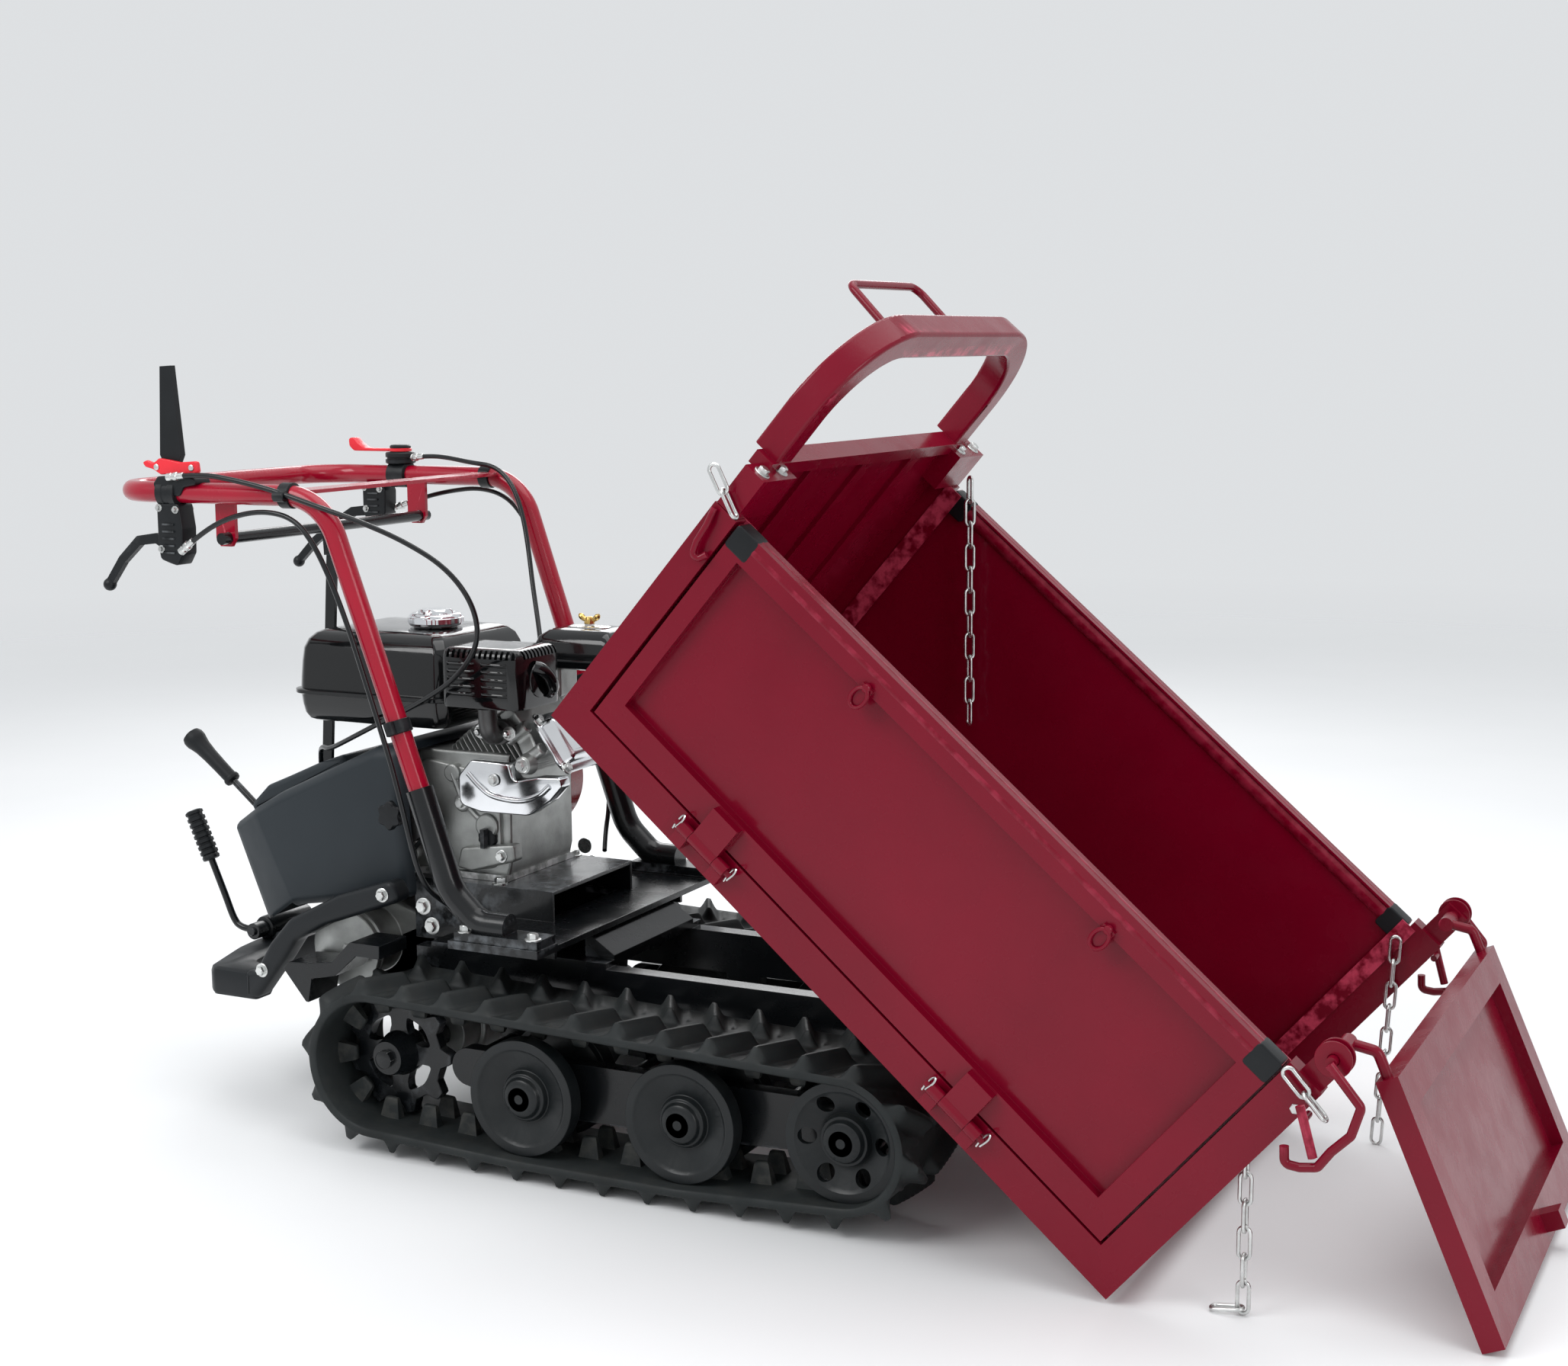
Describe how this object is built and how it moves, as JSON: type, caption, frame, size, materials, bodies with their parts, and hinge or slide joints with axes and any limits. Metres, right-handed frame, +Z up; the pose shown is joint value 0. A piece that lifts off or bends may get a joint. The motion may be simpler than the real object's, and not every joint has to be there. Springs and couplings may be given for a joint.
{
  "type": "power wheelbarrow",
  "caption": "Walk-behind tracked mini dumper with a petrol engine, tipping drop-side skip, hanging front gate and control handlebar.",
  "frame": {"origin": "on the ground, below the middle of the machine's bounding box", "axes": "+X towards the skip's front gate, +Y to the far side (the operator's left when walking forwards), +Z up"},
  "size_m": [1.948, 0.727, 1.1151],
  "materials": {
    "skip_red": "gloss powder coat, deep crimson",
    "handlebar_red": "gloss paint, bright red",
    "frame_black": "gloss black paint",
    "rubber": "moulded track rubber",
    "wheel_black": "satin black paint",
    "steel_dark": "dark steel",
    "cast_alloy": "cast, unpainted",
    "chrome": "bright plated",
    "zinc": "zinc plated",
    "cover_plastic": "matte moulded, blue grey",
    "bumper_plastic": "matte black",
    "engine_black": "gloss black",
    "recoil_red": "gloss red",
    "throttle_red": "gloss red",
    "black_plastic": "satin black",
    "grip_rubber": "soft grip rubber",
    "cable_black": "cable outer"
  },
  "bodies": {
    "chassis": {"main_frame": "frame_black", "pivot_shaft": "zinc", "track_beams": "frame_black", "track_near": "rubber", "track_far": "rubber", "gearbox": "cast_alloy", "mud_plates": "frame_black", "rear_cover": "cover_plastic", "bumper": "bumper_plastic", "linkage_rod": "frame_black", "engine_block": "cast_alloy", "cylinder": "cast_alloy", "valve_cover": "chrome", "engine_shroud": "chrome", "exhaust_pipe": "steel_dark", "muffler_guard": "engine_black", "muffler": "steel_dark", "air_cleaner": "engine_black", "fuel_tank": "engine_black", "recoil_housing": "recoil_red", "carburettor": "cast_alloy", "oil_plugs": "black_plastic", "engine_fasteners": "zinc", "drive_belt": "rubber", "handlebar": "handlebar_red", "handlebar_sockets": "frame_black", "lever_clamps": "black_plastic", "throttle_housing": "black_plastic", "cross_brace": "frame_black", "brace_stay": "frame_black", "throttle_cable": "cable_black", "clutch_cable": "cable_black", "steering_cable_near": "cable_black", "steering_cable_far": "cable_black"},
    "skip": {"skip_tray": "skip_red", "gate_spools": "skip_red", "headboard": "skip_red", "side_latches": "skip_red", "chains": "zinc"},
    "engine_pulley": {"engine_pulley": "steel_dark"},
    "gearbox_pulley": {"gearbox_pulley": "steel_dark"},
    "fuel_cap": {"fuel_cap": "chrome"},
    "starter_grip": {"starter_grip": "black_plastic"},
    "throttle_lever": {"throttle_lever": "throttle_red"},
    "steering_lever_near": {"steering_lever_near": "black_plastic"},
    "steering_lever_far": {"steering_lever_far": "black_plastic"},
    "blade_lever": {"blade_lever": "black_plastic"},
    "gear_lever": {"gear_lever": "grip_rubber"},
    "tip_lever": {"tip_lever": "grip_rubber"},
    "sprocket_near": {"sprocket_near": "frame_black"},
    "sprocket_far": {"sprocket_far": "frame_black"},
    "idler_near": {"idler_near": "wheel_black"},
    "idler_far": {"idler_far": "wheel_black"},
    "rear_roller_near": {"rear_roller_near": "wheel_black"},
    "rear_roller_far": {"rear_roller_far": "wheel_black"},
    "front_roller_near": {"front_roller_near": "wheel_black"},
    "front_roller_far": {"front_roller_far": "wheel_black"},
    "side_panel_near": {"side_panel_near": "skip_red"},
    "side_panel_far": {"side_panel_far": "skip_red"},
    "tailgate": {"tailgate": "skip_red"}
  },
  "joints": [
    {"name": "skip_tilt", "type": "hinge", "parent": "chassis", "child": "skip", "pos_m": [0.18032, 0, 0.29229], "axis": [0, 1, 0], "range_deg": [-40.8, 0]},
    {"name": "gate_swing", "type": "hinge", "parent": "skip", "child": "tailgate", "pos_m": [0.7848, 0, 0.31043], "axis": [0, 1, 0], "range_deg": [-60, 64]},
    {"name": "side_drop_near", "type": "hinge", "parent": "skip", "child": "side_panel_near", "pos_m": [-0.13335, -0.345, 0.62871], "axis": [0.757, 0, -0.6534], "range_deg": [0, 90]},
    {"name": "side_drop_far", "type": "hinge", "parent": "skip", "child": "side_panel_far", "pos_m": [-0.13335, 0.345, 0.62871], "axis": [-0.757, 0, 0.6534], "range_deg": [0, 90]},
    {"name": "sprocket_spin_near", "type": "hinge", "parent": "chassis", "child": "sprocket_near", "pos_m": [-0.46195, -0.228, 0.122], "axis": [0, 1, 0], "continuous": true},
    {"name": "rear_roller_spin_near", "type": "hinge", "parent": "chassis", "child": "rear_roller_near", "pos_m": [-0.24195, -0.228, 0.105], "axis": [0, 1, 0], "continuous": true},
    {"name": "front_roller_spin_near", "type": "hinge", "parent": "chassis", "child": "front_roller_near", "pos_m": [-0.01495, -0.228, 0.105], "axis": [0, 1, 0], "continuous": true},
    {"name": "idler_spin_near", "type": "hinge", "parent": "chassis", "child": "idler_near", "pos_m": [0.20305, -0.228, 0.115], "axis": [0, 1, 0], "continuous": true},
    {"name": "sprocket_spin_far", "type": "hinge", "parent": "chassis", "child": "sprocket_far", "pos_m": [-0.46195, 0.228, 0.122], "axis": [0, 1, 0], "continuous": true},
    {"name": "rear_roller_spin_far", "type": "hinge", "parent": "chassis", "child": "rear_roller_far", "pos_m": [-0.24195, 0.228, 0.105], "axis": [0, 1, 0], "continuous": true},
    {"name": "front_roller_spin_far", "type": "hinge", "parent": "chassis", "child": "front_roller_far", "pos_m": [-0.01495, 0.228, 0.105], "axis": [0, 1, 0], "continuous": true},
    {"name": "idler_spin_far", "type": "hinge", "parent": "chassis", "child": "idler_far", "pos_m": [0.20305, 0.228, 0.115], "axis": [0, 1, 0], "continuous": true},
    {"name": "engine_spin", "type": "hinge", "parent": "chassis", "child": "engine_pulley", "pos_m": [-0.52495, -0.118, 0.414], "axis": [0, 1, 0], "continuous": true},
    {"name": "gearbox_spin", "type": "hinge", "parent": "chassis", "child": "gearbox_pulley", "pos_m": [-0.62895, -0.118, 0.33], "axis": [0, 1, 0], "continuous": true},
    {"name": "fuel_cap_turn", "type": "hinge", "parent": "chassis", "child": "fuel_cap", "pos_m": [-0.54895, 0, 0.6584], "axis": [0, 0, 1], "range_deg": [0, 90]},
    {"name": "throttle_turn", "type": "hinge", "parent": "chassis", "child": "throttle_lever", "pos_m": [-0.76695, 0.232, 0.8844], "axis": [0, 0, 1], "range_deg": [-35, 35]},
    {"name": "steering_squeeze_near", "type": "hinge", "parent": "chassis", "child": "steering_lever_near", "pos_m": [-0.80395, -0.232, 0.773], "axis": [0, 1, 0], "range_deg": [0, 20], "stiffness_Nm_per_rad": 0.5, "springref_deg": -22.92},
    {"name": "steering_squeeze_far", "type": "hinge", "parent": "chassis", "child": "steering_lever_far", "pos_m": [-0.81195, 0.232, 0.796], "axis": [0, 1, 0], "range_deg": [0, 12], "stiffness_Nm_per_rad": 0.8, "springref_deg": -22.92},
    {"name": "blade_tilt", "type": "hinge", "parent": "chassis", "child": "blade_lever", "pos_m": [-0.80295, -0.232, 0.888], "axis": [0, 1, 0], "range_deg": [-25, 25]},
    {"name": "gear_shift", "type": "hinge", "parent": "chassis", "child": "gear_lever", "pos_m": [-0.75295, -0.04, 0.312], "axis": [0, 1, 0], "range_deg": [-8, 8]},
    {"name": "tip_lever_pull", "type": "hinge", "parent": "chassis", "child": "tip_lever", "pos_m": [-0.83295, -0.06, 0.206], "axis": [0, 1, 0], "range_deg": [-20, 15]},
    {"name": "starter_pull", "type": "slide", "parent": "chassis", "child": "starter_grip", "axis": [0, 0.9404, 0.3401], "range_m": [0, 0.45], "stiffness_N_per_m": 20, "springref_m": -0.2}
  ],
  "couplings": [
    {"joint": "rear_roller_spin_near", "follows": "sprocket_spin_near", "ratio": 1.12},
    {"joint": "front_roller_spin_near", "follows": "sprocket_spin_near", "ratio": 1.12},
    {"joint": "idler_spin_near", "follows": "sprocket_spin_near", "ratio": 1.1507},
    {"joint": "rear_roller_spin_far", "follows": "sprocket_spin_far", "ratio": 1.12},
    {"joint": "front_roller_spin_far", "follows": "sprocket_spin_far", "ratio": 1.12},
    {"joint": "idler_spin_far", "follows": "sprocket_spin_far", "ratio": 1.1507},
    {"joint": "gearbox_spin", "follows": "engine_spin", "ratio": 0.7391}
  ]
}
